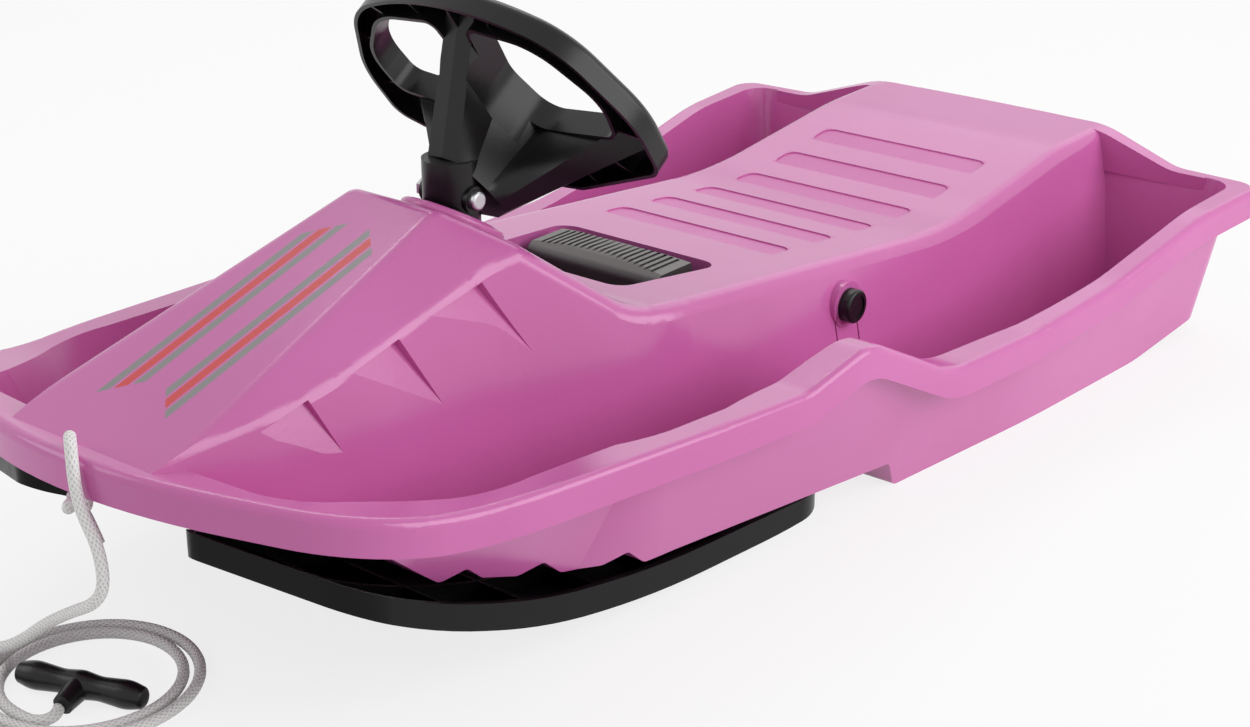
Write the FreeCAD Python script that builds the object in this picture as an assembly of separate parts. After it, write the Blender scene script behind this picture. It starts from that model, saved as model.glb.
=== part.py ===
"""Child's steering sled: a moulded tub with hood and seat, a wheel that turns twin front skis, a brake
that is pulled up between the knees, and a tow rope with a T-handle. Millimetres, +Z up, nose along -Y,
origin on the ground under the middle of the sled."""
import FreeCAD
import Part
import math
import os
from FreeCAD import Vector

# Overall plan of the tub
LENGTH = 1134.0
BOW_HALF_WIDTH = 207.0
CHEEK_HALF_WIDTH = 231.0
WAIST_HALF_WIDTH = 246.0
TAIL_HALF_WIDTH = 293.0
BOW_SETBACK = 64.0
TAIL_SETBACK = 12.0
CHEEK_Y = -378.0
WAIST_Y = -210.0
BOW_RADIUS = 105.0
CHEEK_RADIUS = 500.0
WAIST_RADIUS = 1500.0
TAIL_RADIUS = 24.0

# Rim, walls and floor
WALL = 4.5
FLOOR = 5.0
LIP_HEIGHT = 25.5
LIP_STEP = 10.0
LIP_ROUND = 6.0
NOSE_HEIGHT = 188.5
CHEEK_HEIGHT = 160.0
WAIST_HEIGHT = 146.0
GRIP_HEIGHT = 158.5
AFT_RIM_HEIGHT = 103.0
TAIL_HEIGHT = 139.0
STERN_LEAN = 30.0
STERN_WALL = 8.0
RISE_LENGTH = 26.0
RISE_HALF_WIDTH = 128.0
RISE_SHOULDER = 87.0
RISE_CREST = 0.19
RISE_HOLLOW = 0.125
KEEL_STEP_Y = 56.0
KEEL_STEP = 26.0
RIDGE_HEIGHT = 10.0
RIDGE_BASE = 38.0
RIDGE_FIRST_Y = -395.0
RIDGE_PITCH = 70.0
RIDGE_COUNT = 3

# Saddle: hood, knee bridge and seat
HOOD_FRONT_Y = -535.0
HOOD_FRONT_Z = 188.0
PEAK_Y = -262.0
PEAK_Z = 274.0
KNEE_Y = -140.0
KNEE_Z = 181.0
SEAT_LOW_Y = 275.0
SEAT_LOW_Z = 138.0
SEAT_REAR_Y = 470.0
SEAT_REAR_Z = 163.0
SEAT_TAIL_Z = 167.0
HOOD_HALF_WIDTH = 128.0
PEAK_HALF_WIDTH = 134.0
SEAT_HALF_WIDTH = 164.0
HOOD_NOSE_HALF_WIDTH = 104.0
FLANK_TAPER = 0.2
FACET_FRONT_HALF = 73.0
FACET_PEAK_HALF = 40.0
FACET_KNEE_HALF = 87.0
FACET_DROP = 34.0
SHOULDER_ROUND = 13.0
DENT_DEPTH = 6.5
DENT_COUNT = 3
DENT_PITCH = 74.5
DENT_LENGTH = 41.0
DENT_REACH = 63.0
DENT_FIRST_Y = -474.0
DENT_FIRST_Z = 189.0
DENT_FOOT_Z = 153.0
BAR_COUNT = 6
BAR_PITCH = 62.0
BAR_FIRST_Y = 70.0
BAR_WIDTH = 30.0
BAR_HALF = 88.0
BAR_DEPTH = 1.2

# Steering
STEER_Y = -206.0
COLUMN_R = 11.0
RUNNING = 0.05
SNUG = 0.02
GAP = 0.4
BUSH_WALL = 3.0
BUSH_LENGTH = 26.0
FLANGE_R = 18.0
FLANGE_T = 3.0
BOSS_WALL = 5.0
BOSS_BOTTOM_Z = 66.0
COWL_R = 37.0
COWL_POCKET_R = 27.0
COWL_FLOOR_Z = 226.0
COWL_TOP_Z = 270.0
COWL_SLOPE = 0.62
COWL_ROUND = 4.0
WEB_T = 5.0
WEB_REACH = 70.0
HUB_R = 21.0
HUB_TOP_Z = 290.0
WHEEL_BOLT_Z = 262.0
WHEEL_BOLT_R = 4.0
HUB_EAR_R = 10.0
HUB_EAR_X = 23.0
BOLT_HEAD_R = 7.0
BOLT_HEAD_T = 5.0
NUT_T = 6.0
COLUMN_TOP_Z = 284.0
COLUMN_PIN_R = 3.0
COLUMN_PIN_Z = 51.0
WASHER_T = 3.0
SLACK = 0.2

# Steering wheel, in its own tilted plane
WHEEL_Y = -122.0
WHEEL_Z = 291.0
WHEEL_RAKE_DEG = 36.87
WHEEL_HALF_WIDTH = 134.0
WHEEL_TOP = 146.0
WHEEL_FACE = 11.0
WHEEL_DEPTH = 21.0
WHEEL_SKIN = 4.0
WHEEL_RIB = 3.0
WHEEL_RIB_COUNT = 14
WHEEL_RIB_CENTRE = 55.0
WHEEL_ROUND = 8.0
WHEEL_NECK = 74.0

# Skis and their bridge
SKI_INNER_X = 72.0
SKI_OUTER_X = 204.0
SKI_TIP_Y = -540.0
SKI_TAIL_Y = 6.0
SKI_TIP_Z = 131.0
SKI_WALL_HEIGHT = 21.0
SKI_TAIL_HEIGHT = 11.0
SKI_WALL = 5.0
SKI_FLOOR = 5.0
SKI_TIP_ROUND = 38.0
SKI_TAIL_ROUND = 48.0
SKI_INNER_ROUND = 14.0
SKI_TIP_SWEEP = 43.0
SKI_TIP_WAIST = 12.0
SKI_RIB_COUNT = 6
SKI_RIB_PITCH = 70.0
SKI_RIB = 4.0
NUT_LOW_Z = 15.0
PAD_LENGTH = 70.0
PAD_WIDTH = 44.0
PAD_TOP_Z = 30.0
BRIDGE_T = 12.0
BRIDGE_LENGTH = 62.0
BRIDGE_COLLAR_R = 19.0
SKI_BOLT_R = 4.0
SKI_BOLT_PITCH = 40.0
SKI_BOLT_X = 94.0

# Brake
AXLE_Y = 100.0
AXLE_Z = 121.0
AXLE_R = 5.0
AXLE_PAD_R = 19.0
AXLE_PAD_X = 143.0
AXLE_PAD_IN = 126.0
AXLE_END_X = 149.0
AXLE_SLIT = 1.6
AXLE_SLIT_Y = 15.0
AXLE_SLIT_FOOT_Z = 62.0
CAP_R = 14.0
CAP_T = 10.0
LEVER_HUB_R = 13.0
LEVER_HUB_HALF = 40.0
LEVER_ARM_X = 28.0
LEVER_ARM_T = 6.0
SPACER_R = 9.0
RECESS_REAR_Y = 12.0
RECESS_FRONT_Y = -102.0
RECESS_REAR_HALF = 81.0
RECESS_FRONT_HALF = 71.0
RECESS_ROUND = 16.0
COLLAR_BOTTOM_Z = 152.0
GRIP_HALF = 66.0
GRIP_FRONT_Y = -52.0
GRIP_REAR_Y = -2.0
GRIP_TOP_Z = 173.0
GRIP_BOTTOM_Z = 148.0
GRIP_CROWN_R = 560.0
GRIP_RIB_COUNT = 19
GRIP_GROOVE = 3.0
GRIP_GROOVE_DEPTH = 1.4
CLAW_T = 2.0
CLAW_HALF = 46.0
CLAW_LENGTH = 112.0
CLAW_TOOTH = 14.0
RIVET_R = 3.0
RIVET_X = 15.0
RIVET_DOWN = 32.0
CLAW_TEETH = 6
CLAW_HEAD_Y = 162.0
CLAW_HEAD_Z = 104.0
CLAW_FOOT_Y = 202.0
CLAW_FOOT_Z = 48.0
GRIP_SCREW_X = 44.0
GRIP_SCREW_Y = -26.0
GRIP_SCREW_R = 2.5
PLATE_T = 8.0
STOP_IN_X = 52.0
STOP_FRONT_Y = -28.0
STOP_LENGTH = 16.0
STOP_T = 9.0

# Tow rope
ROPE_R = 4.0
ROPE_HOLE_Y = -553.0
COIL_X = -28.0
COIL_Y = -542.0
COIL_R = 76.0
COIL_STEP = 11.0
COIL_TURNS = 2
HANDLE_LENGTH = 96.0
HANDLE_R = 10.0
HANDLE_STEM = 22.0
HANDLE_STEM_R = 7.0
HANDLE_SWEEP_DEG = 108.0
COIL_TAIL = 3.0
COIL_TURN_R = 17.0
KNOT_Z = 147.0
KNOT_R = 6.0
KNOT_TAIL = 26.0

# Derived places
NOSE_Y = -LENGTH / 2
TAIL_Y = LENGTH / 2
NOSE_RADIUS = 0.9 * BOW_HALF_WIDTH ** 2 / (2 * BOW_SETBACK)
RISE_FOOT_HALF = TAIL_HALF_WIDTH - RISE_SHOULDER
STERN_RADIUS = 0.75 * TAIL_HALF_WIDTH ** 2 / (2 * TAIL_SETBACK)
BORE_R = COLUMN_R + RUNNING + BUSH_WALL
BRIDGE_TOP_Z = PAD_TOP_Z + BRIDGE_T
COLLAR_TOP_Z = BOSS_BOTTOM_Z - FLANGE_T - GAP - WASHER_T
REACH = 2000.0
BELOW = -60.0
HULL_TOP_Z = 185.0
LOFT_TOP_Z = 300.0


def corner(before, at, after, radius):
    """Start, middle and end of the tangent arc that rounds one corner of a path."""
    u = (before - at).normalize()
    w = (after - at).normalize()
    half = u.getAngle(w) / 2
    reach = radius / math.tan(half)
    middle = at + (u + w).normalize() * (radius / math.sin(half) - radius)
    return at + u * reach, middle, at + w * reach


def rounded(points, radii, closed=True):
    """Straight runs joined by tangent arcs; a radius of 0 leaves a corner sharp."""
    count = len(points)
    spans = []
    for i, (point, radius) in enumerate(zip(points, radii)):
        is_end = not closed and i in (0, count - 1)
        if radius > 0 and not is_end:
            spans.append(corner(points[i - 1], point, points[(i + 1) % count], radius))
        else:
            spans.append((point, None, point))
    edges = []
    for i, (start, middle, end) in enumerate(spans):
        if middle is not None:
            edges.append(Part.Arc(start, middle, end).toShape())
        following = spans[(i + 1) % count][0]
        last = not closed and i == count - 1
        if not last and (following - end).Length > 1e-6:
            edges.append(Part.LineSegment(end, following).toShape())
    return Part.Wire(edges)


def loop(half, z):
    """Closed plan outline from its +X half, listed from nose to tail as (x, y, radius)."""
    other = [(-x, y, r) for x, y, r in reversed(half) if x > 0]
    whole = list(half) + other
    return rounded([Vector(x, y, z) for x, y, r in whole], [r for x, y, r in whole])


def column_of(wire, low, high):
    """Upright prism over a plan outline drawn at height low."""
    return Part.Face(wire).extrude(Vector(0, 0, high - low))


def side_prism(outline, half_width):
    """Prism across the sled of a closed side outline, listed as (y, z, radius)."""
    wire = rounded([Vector(-half_width, y, z) for y, z, r in outline], [r for y, z, r in outline])
    return Part.Face(wire).extrude(Vector(2 * half_width, 0, 0))


def drafted(half_low, half_high, high):
    """Solid with straight drafted sides from the ground outline to an outline at height high."""
    return Part.makeLoft([loop(half_low, 0), loop(half_high, high)], True, True)


def crown(apex, radius, x, y):
    """Corner height on the centre line whose rounding has its apex there and runs on to (x, y)."""
    sign = 1 if y > apex else -1
    centre = apex + sign * radius
    k = (radius / x) ** 2
    a = 1 - k
    b = 2 * k * y - 2 * centre
    c = centre ** 2 - k * y ** 2 - radius ** 2
    root = math.sqrt(b * b - 4 * a * c)
    options = [(-b - root) / (2 * a), (-b + root) / (2 * a)]
    return min(options, key=lambda v: abs(v - apex))


def cylinder(radius, start, direction, length):
    return Part.makeCylinder(radius, length, start, direction)


def upright(radius, low, high, x=0.0, y=STEER_Y):
    return cylinder(radius, Vector(x, y, low), Vector(0, 0, 1), high - low)


def crosswise(radius, low, high, y, z):
    return cylinder(radius, Vector(low, y, z), Vector(1, 0, 0), high - low)


def block(x0, x1, y0, y1, z0, z1):
    return Part.makeBox(x1 - x0, y1 - y0, z1 - z0, Vector(x0, y0, z0))


def mirrored(shape):
    return shape.mirror(Vector(0, 0, 0), Vector(1, 0, 0))


def one_solid(shape):
    """The single solid of a boolean result, with seams between like faces removed."""
    return max(shape.removeSplitter().Solids, key=lambda solid: solid.Volume)


# Plan outlines of the tub
def station(y, places):
    """Value at one station between the (y, value) places listed from nose to tail."""
    for (y0, v0), (y1, v1) in zip(places, places[1:]):
        if y <= y1:
            return v0 + (v1 - v0) * (y - y0) / (y1 - y0)
    return places[-1][1]


def rim_x(y):
    """Half width of the rim at one station."""
    return station(y, [(NOSE_Y + BOW_SETBACK, BOW_HALF_WIDTH), (CHEEK_Y, CHEEK_HALF_WIDTH),
                       (WAIST_Y, WAIST_HALF_WIDTH), (TAIL_Y - TAIL_SETBACK, TAIL_HALF_WIDTH)])


def rim_half():
    bow_y = NOSE_Y + BOW_SETBACK
    stern_y = TAIL_Y - TAIL_SETBACK
    return [(0, crown(NOSE_Y, NOSE_RADIUS, BOW_HALF_WIDTH, bow_y), NOSE_RADIUS),
            (BOW_HALF_WIDTH, bow_y, BOW_RADIUS),
            (CHEEK_HALF_WIDTH, CHEEK_Y, CHEEK_RADIUS),
            (WAIST_HALF_WIDTH, WAIST_Y, WAIST_RADIUS),
            (TAIL_HALF_WIDTH, stern_y, TAIL_RADIUS),
            (0, crown(TAIL_Y, STERN_RADIUS, TAIL_HALF_WIDTH, stern_y), STERN_RADIUS)]


def hull_halves():
    """Ground outline of the hull and the outline its flared sides reach at HULL_TOP_Z."""
    low = [(0, NOSE_Y + 60, 80), (BOW_HALF_WIDTH - 97, NOSE_Y + 140, 60), (rim_x(-260) - 55, -260, 300),
           (rim_x(50) - 42, 50, WAIST_RADIUS), (rim_x(240) - 34, 240, WAIST_RADIUS),
           (TAIL_HALF_WIDTH - 39, TAIL_Y - STERN_LEAN - 8, 28), (0, TAIL_Y - STERN_LEAN, STERN_RADIUS)]
    high = [(0, NOSE_Y - 40, 300), (BOW_HALF_WIDTH + 18, NOSE_Y + 37, 100), (rim_x(-260) + 1, -260, 300),
            (rim_x(50) + 8, 50, WAIST_RADIUS), (rim_x(240) + 8, 240, WAIST_RADIUS),
            (TAIL_HALF_WIDTH - 13, TAIL_Y - 4, 28), (0, TAIL_Y + 4, STERN_RADIUS)]
    return low, high


def well_halves():
    """Outlines of the foot wells at the ground and at LOFT_TOP_Z, inside the hull's flared sides."""
    low = [(0, NOSE_Y + 92, 300), (BOW_HALF_WIDTH - 89, NOSE_Y + 95, 50), (rim_x(-392) - 101, -392, 140),
           (rim_x(-260) - 62, -260, 400), (rim_x(-110) - 49, -110, 600), (rim_x(50) - 47, 50, 900),
           (rim_x(240) - 39, 240, WAIST_RADIUS), (TAIL_HALF_WIDTH - 47, TAIL_Y - 50, 22),
           (0, TAIL_Y - 42, STERN_RADIUS)]
    high = [(0, NOSE_Y + 2, 300), (BOW_HALF_WIDTH - 28, NOSE_Y + 22, 70), (rim_x(-392) + 57, -392, 110),
            (rim_x(-260) + 20, -260, 400), (rim_x(-110) - 20, -110, 600), (rim_x(50) - 1, 50, 900),
            (rim_x(240) + 23, 240, WAIST_RADIUS), (TAIL_HALF_WIDTH + 3, TAIL_Y + 5, 22),
            (0, TAIL_Y + 13, STERN_RADIUS)]
    return low, high


def saddle_half(z, inset=0.0, front=NOSE_Y + 15, rear=TAIL_Y + 60):
    """Outline of the hood and seat block at height z; its flanks lean in by FLANK_TAPER."""
    lean = FLANK_TAPER * z + inset
    return [(0, front - 2, 900), (HOOD_NOSE_HALF_WIDTH - lean, front, 0),
            (HOOD_HALF_WIDTH - lean, front + 120, 500), (PEAK_HALF_WIDTH - lean, PEAK_Y, 160),
            (SEAT_HALF_WIDTH - 1 - lean, KNEE_Y + 25, 220), (SEAT_HALF_WIDTH - lean, rear, 0),
            (0, rear + 1, 5000)]


# Side profiles of the tub, from nose to tail as (y, z, radius)
def sheer_line():
    """Height of the rim's top along the sled."""
    return [(NOSE_Y - 40, NOSE_HEIGHT + 8.5, 0), (-430, CHEEK_HEIGHT, 350), (-180, WAIST_HEIGHT, 300),
            (-108, WAIST_HEIGHT - 4, 60), (-36, GRIP_HEIGHT, 50), (72, AFT_RIM_HEIGHT + 0.5, 100),
            (190, AFT_RIM_HEIGHT - 1, 300), (310, AFT_RIM_HEIGHT + 8, 300), (445, TAIL_HEIGHT - 3.5, 250),
            (TAIL_Y + 40, TAIL_HEIGHT + 1, 0)]


def keel_line(lift=0.0):
    """Underside of the hull: raised bow, cross ridges of the foot rest, step, flat runner, tail."""
    slope = 0.37
    line = [(NOSE_Y - 40, 176 + lift, 0), (-520, 160 + lift, 60), (-478, 143 + lift, 60),
            (-432, 106 + lift, 60)]
    for i in range(RIDGE_COUNT):
        y = RIDGE_FIRST_Y + i * RIDGE_PITCH
        base = 87 - (slope - 0.05 * i) * i * RIDGE_PITCH
        half = RIDGE_BASE / 2
        line += [(y - half, base + 5 + lift, 9), (y, base + RIDGE_HEIGHT + lift, 5),
                 (y + half, base - 6 + lift, 9)]
    line += [(-205, 42 + lift, 60), (KEEL_STEP_Y - 16, KEEL_STEP + lift, 6),
             (KEEL_STEP_Y, lift, 8), (410, lift, 200), (TAIL_Y + 40, 26 + lift, 0)]
    return line


def saddle_top(drop=0.0):
    """Top of the hood, knee bridge and seat."""
    slope = (PEAK_Z - HOOD_FRONT_Z) / (PEAK_Y - HOOD_FRONT_Y)
    start = NOSE_Y - 60
    return [(start, HOOD_FRONT_Z + slope * (start - HOOD_FRONT_Y) - drop, 0), (PEAK_Y, PEAK_Z - drop, 16),
            (KNEE_Y, KNEE_Z - drop, 70), (SEAT_LOW_Y, SEAT_LOW_Z - drop, 500),
            (SEAT_REAR_Y, SEAT_REAR_Z - drop, 300), (TAIL_Y + 90, SEAT_TAIL_Z - drop, 0)]


def under(line, low):
    """Closed side outline between a line and a level below it."""
    return list(line) + [(line[-1][0], low, 0), (line[0][0], low, 0)]


def above(line, high):
    return list(line) + [(line[-1][0], high, 0), (line[0][0], high, 0)]


def shifted(line, dz):
    return [(y, z + dz, r) for y, z, r in line]


def rim_slab():
    """Rim with its rolled lip, filled across; the wells are cut from it later."""
    plan = column_of(loop(rim_half(), BELOW), BELOW, LOFT_TOP_Z)
    top = sheer_line()
    band = side_prism(list(top) + list(reversed(shifted(top, -LIP_HEIGHT))), TAIL_HALF_WIDTH + 60)
    slab = plan.common(band).Solids[0]
    return slab.makeFillet(LIP_ROUND, outer_rim_edges(slab))


def tail_rise():
    """Raised middle of the stern: its top falls in an S from the seat's rear edge to the rim."""
    top = station(TAIL_Y - RISE_LENGTH, [(y, z) for y, z, r in saddle_top()])
    slope = (SEAT_TAIL_Z - SEAT_REAR_Z) / (TAIL_Y + 90 - SEAT_REAR_Y)
    foot = TAIL_HEIGHT - 0.8
    run = RISE_FOOT_HALF - RISE_HALF_WIDTH
    bend = math.hypot(run, top - foot) / math.tan(math.atan2(top - foot, run) / 2)
    half = [(RISE_HALF_WIDTH, top, RISE_CREST * bend), (RISE_FOOT_HALF, foot, RISE_HOLLOW * bend),
            (RISE_FOOT_HALF + 34, foot, 0),
            (RISE_FOOT_HALF + 34, foot - LIP_HEIGHT / 2, 0)]
    whole = half + [(-x, z, r) for x, z, r in reversed(half)]
    wire = rounded([Vector(x, TAIL_Y - RISE_LENGTH, z) for x, z, r in whole], [r for x, z, r in whole])
    bar = Part.Face(wire).extrude(Vector(0, 2 * RISE_LENGTH, 2 * RISE_LENGTH * slope))
    bar = bar.common(column_of(loop(rim_half(), BELOW), BELOW, LOFT_TOP_Z)).Solids[0]
    stern = [edge for edge in outer_rim_edges(bar) if middle_of(edge).y > TAIL_Y - TAIL_SETBACK - 1]
    return bar.makeFillet(LIP_ROUND, stern)


def flared_hull():
    """Flared sides, bow and stern of the hull, kept inside the overhang of the lip."""
    low, high = hull_halves()
    inside_lip = loop(rim_half(), BELOW).makeOffset2D(-LIP_STEP)
    return drafted(low, high, HULL_TOP_Z).common(column_of(inside_lip, BELOW, LOFT_TOP_Z))


def hull_block():
    side = side_prism(above(keel_line(), HULL_TOP_Z), TAIL_HALF_WIDTH + 60)
    below_rim = side_prism(under(shifted(sheer_line(), -LIP_HEIGHT / 2), BELOW), TAIL_HALF_WIDTH + 60)
    return flared_hull().common(side).common(below_rim)


def stern_wall():
    """Space that the leaning stern keeps clear of the hollow under the seat."""
    lean = STERN_LEAN / HULL_TOP_Z
    foot = TAIL_Y - STERN_LEAN - STERN_WALL
    line = [(foot + lean * BELOW, BELOW, 0), (foot + lean * LOFT_TOP_Z, LOFT_TOP_Z, 0)]
    return side_prism(line + [(REACH, LOFT_TOP_Z, 0), (REACH, BELOW, 0)], TAIL_HALF_WIDTH)


def facet_cut(side):
    """Half space above the sloping facet that runs along one edge of the hood's flat top."""
    front = Vector(side * FACET_FRONT_HALF, HOOD_FRONT_Y, HOOD_FRONT_Z)
    peak = Vector(side * FACET_PEAK_HALF, PEAK_Y, PEAK_Z)
    knee = Vector(side * FACET_KNEE_HALF, PEAK_Y, PEAK_Z - FACET_DROP)
    along = (peak - front).normalize()
    normal = along.cross((knee - front)).normalize()
    if normal.z < 0:
        normal = normal * -1
    across = normal.cross(along)
    cutter = Part.makeBox(900, 900, 300, Vector(-450, -450, 0))
    turn = FreeCAD.Rotation(along, across, normal, "ZXY")
    cutter.Placement = FreeCAD.Placement(front, turn)
    return cutter


def saddle_block(inset, drop, front, rear):
    """Hood, knee bridge and seat as one drafted block; inset and drop give its inner face."""
    block_low = loop(saddle_half(BELOW, inset, front, rear), BELOW)
    block_high = loop(saddle_half(LOFT_TOP_Z, inset, front, rear), LOFT_TOP_Z)
    flanks = Part.makeLoft([block_low, block_high], True, True)
    return flanks.common(side_prism(under(saddle_top(drop), 2 * BELOW), REACH / 4))


def middle_of(edge):
    return edge.valueAt((edge.FirstParameter + edge.LastParameter) / 2)


def outer_rim_edges(slab):
    """Edges where the rim's top meets its outside."""
    seen = {}
    for face in slab.Faces:
        u0, u1, v0, v1 = face.ParameterRange
        if face.normalAt((u0 + u1) / 2, (v0 + v1) / 2).z > 0.5:
            for edge in face.Edges:
                seen.setdefault(edge.hashCode(), []).append(edge)
    return [edges[0] for edges in seen.values() if len(edges) == 1]


def is_shoulder(edge):
    """Long edges along the top of the flanks and along both sides of the hood's flat top."""
    at = middle_of(edge)
    runs_fore_and_aft = edge.BoundBox.YLength > 5
    return runs_fore_and_aft and at.z > 120 and abs(at.x) > 20 and HOOD_FRONT_Y < at.y < TAIL_Y + 30


def flank_x(y, z):
    """Half width of the saddle at one station and height: its flank, or the facet above it."""
    front = NOSE_Y + 15
    foot = station(y, [(front, HOOD_NOSE_HALF_WIDTH), (front + 120, HOOD_HALF_WIDTH),
                       (PEAK_Y, PEAK_HALF_WIDTH), (KNEE_Y + 25, SEAT_HALF_WIDTH)])
    top = station(y, [(HOOD_FRONT_Y, HOOD_FRONT_Z), (PEAK_Y, PEAK_Z)])
    flat = station(y, [(HOOD_FRONT_Y, FACET_FRONT_HALF), (PEAK_Y, FACET_PEAK_HALF)])
    facet = flat + (top - z) * (FACET_KNEE_HALF - FACET_PEAK_HALF) / FACET_DROP
    return min(foot - FLANK_TAPER * z, facet)


def tetrahedron(a, b, c, d):
    sides = ((a, b, c), (a, b, d), (b, c, d), (a, c, d))
    faces = [Part.Face(Part.makePolygon([p, q, r, p])) for p, q, r in sides]
    solid = Part.makeSolid(Part.makeShell(faces))
    if solid.Volume < 0:
        solid.reverse()
    return solid


def flank_dents(shift):
    """Three moulded facets on the +X flank of the hood, each sunk along its two upper edges."""
    dents = []
    for i in range(DENT_COUNT):
        a_y = DENT_FIRST_Y + i * DENT_PITCH
        b_y = a_y + DENT_LENGTH + 7 * i
        c_y = a_y + DENT_REACH + 15.5 * i
        a_z = DENT_FIRST_Z + 17 * i
        b_z = a_z + 12 - i
        c_z = DENT_FOOT_Z + 6 * i
        front = Vector(flank_x(a_y, a_z) + 0.6 - shift, a_y, a_z)
        foot = Vector(flank_x(c_y, c_z) + 0.6 - shift, c_y, c_z)
        corner_x = flank_x(b_y, b_z) - shift
        deep = Vector(corner_x - 0.8 * DENT_DEPTH, b_y, b_z - 0.6 * DENT_DEPTH)
        proud = Vector(corner_x + 14, b_y, b_z + 10)
        dents.append(tetrahedron(front, foot, deep, proud))
    return dents


def saddle_outside():
    block_low = saddle_block(0.0, 0.0, NOSE_Y + 15, TAIL_Y + 60)
    for side in (1, -1):
        block_low = block_low.cut(facet_cut(side))
    solid = one_solid(block_low)
    solid = solid.makeFillet(SHOULDER_ROUND, [edge for edge in solid.Edges if is_shoulder(edge)])
    for dent in flank_dents(0.0):
        solid = solid.cut(dent).cut(mirrored(dent))
    return solid


def saddle_inside():
    """Hollow under the hood and seat, open below."""
    inner = saddle_block(WALL, WALL, NOSE_Y + 50, TAIL_Y - 14)
    for side in (1, -1):
        cutter = facet_cut(side)
        cutter.translate(Vector(0, 0, -1.25 * WALL))
        inner = inner.cut(cutter)
    for dent in flank_dents(1.05 * WALL):
        inner = inner.cut(dent).cut(mirrored(dent))
    return one_solid(inner.cut(stern_wall()))


def recess_wire(grow, z):
    rear = RECESS_REAR_HALF + grow
    front = RECESS_FRONT_HALF + grow
    rear_y = RECESS_REAR_Y + grow
    front_y = RECESS_FRONT_Y - grow
    corners = [(rear, rear_y), (front, front_y), (-front, front_y), (-rear, rear_y)]
    return rounded([Vector(x, y, z) for x, y in corners], [RECESS_ROUND + grow] * 4)


def cowl_cup():
    """Shield round the foot of the wheel's hub, highest in front and falling towards the rider."""
    cup = upright(COWL_R, COWL_FLOOR_Z - 30, PEAK_Z + 40)
    front_y = STEER_Y - COWL_R
    rear_y = STEER_Y + COWL_R
    rear_z = COWL_TOP_Z - COWL_SLOPE * 2 * COWL_R
    side = [(front_y - 5, COWL_TOP_Z + 5 * COWL_SLOPE, 0), (rear_y + 5, rear_z - 5 * COWL_SLOPE, 0)]
    cup = cup.common(side_prism(under(side, 0), COWL_R + 5))
    top = [edge for edge in cup.Edges if edge.BoundBox.ZLength > COWL_R and edge.BoundBox.XLength > COWL_R]
    return cup.makeFillet(COWL_ROUND, top)


def column_support(outside):
    """Boss tube and cross web that carry the steering column inside the hood."""
    boss = upright(BORE_R + BOSS_WALL, BOSS_BOTTOM_Z, COWL_FLOOR_Z)
    half = WEB_T / 2
    across = block(-REACH / 4, REACH / 4, STEER_Y - half, STEER_Y + half, BOSS_BOTTOM_Z, COWL_FLOOR_Z)
    along = block(-half, half, STEER_Y - WEB_REACH, STEER_Y + WEB_REACH, BOSS_BOTTOM_Z + 30, COWL_FLOOR_Z)
    return boss.fuse(across).fuse(along).common(outside)


def seat_bars(outside_top):
    """Shallow cross bars pressed into the seat so that it is less slippery."""
    bars = []
    for i in range(BAR_COUNT):
        y = BAR_FIRST_Y + i * BAR_PITCH
        corners = [(BAR_HALF, y), (BAR_HALF, y + BAR_WIDTH), (-BAR_HALF, y + BAR_WIDTH), (-BAR_HALF, y)]
        wire = rounded([Vector(x, q, BELOW) for x, q in corners], [BAR_WIDTH * 0.35] * 4)
        bars.append(column_of(wire, BELOW, LOFT_TOP_Z).common(outside_top))
    return bars


def lever_stop():
    """Hooked ledge on the +X side of the recess, on which the lever's plate comes to rest."""
    top = GRIP_BOTTOM_Z - PLATE_T - GAP
    rear = STOP_FRONT_Y + STOP_LENGTH
    along = (STOP_FRONT_Y - RECESS_FRONT_Y) / (RECESS_REAR_Y - RECESS_FRONT_Y)
    wall_x = RECESS_FRONT_HALF + along * (RECESS_REAR_HALF - RECESS_FRONT_HALF) + 2
    ledge = block(STOP_IN_X, wall_x + WALL / 2, STOP_FRONT_Y, rear, top - STOP_T, top)
    return ledge.fuse(block(wall_x, wall_x + WALL / 2, STOP_FRONT_Y, rear, top - STOP_T, COLLAR_BOTTOM_Z + 4))


def axle_slits():
    """Thin slits in the flanks on both sides of the axle pads, which let the axle snap in."""
    cuts = []
    for y in (AXLE_Y - AXLE_SLIT_Y, AXLE_Y + AXLE_SLIT_Y):
        half = AXLE_SLIT / 2
        slit = block(AXLE_PAD_IN - 10, AXLE_PAD_X + 30, y - half, y + half, AXLE_SLIT_FOOT_Z, AXLE_Z - 4)
        cuts += [slit, mirrored(slit)]
    return cuts


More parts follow.
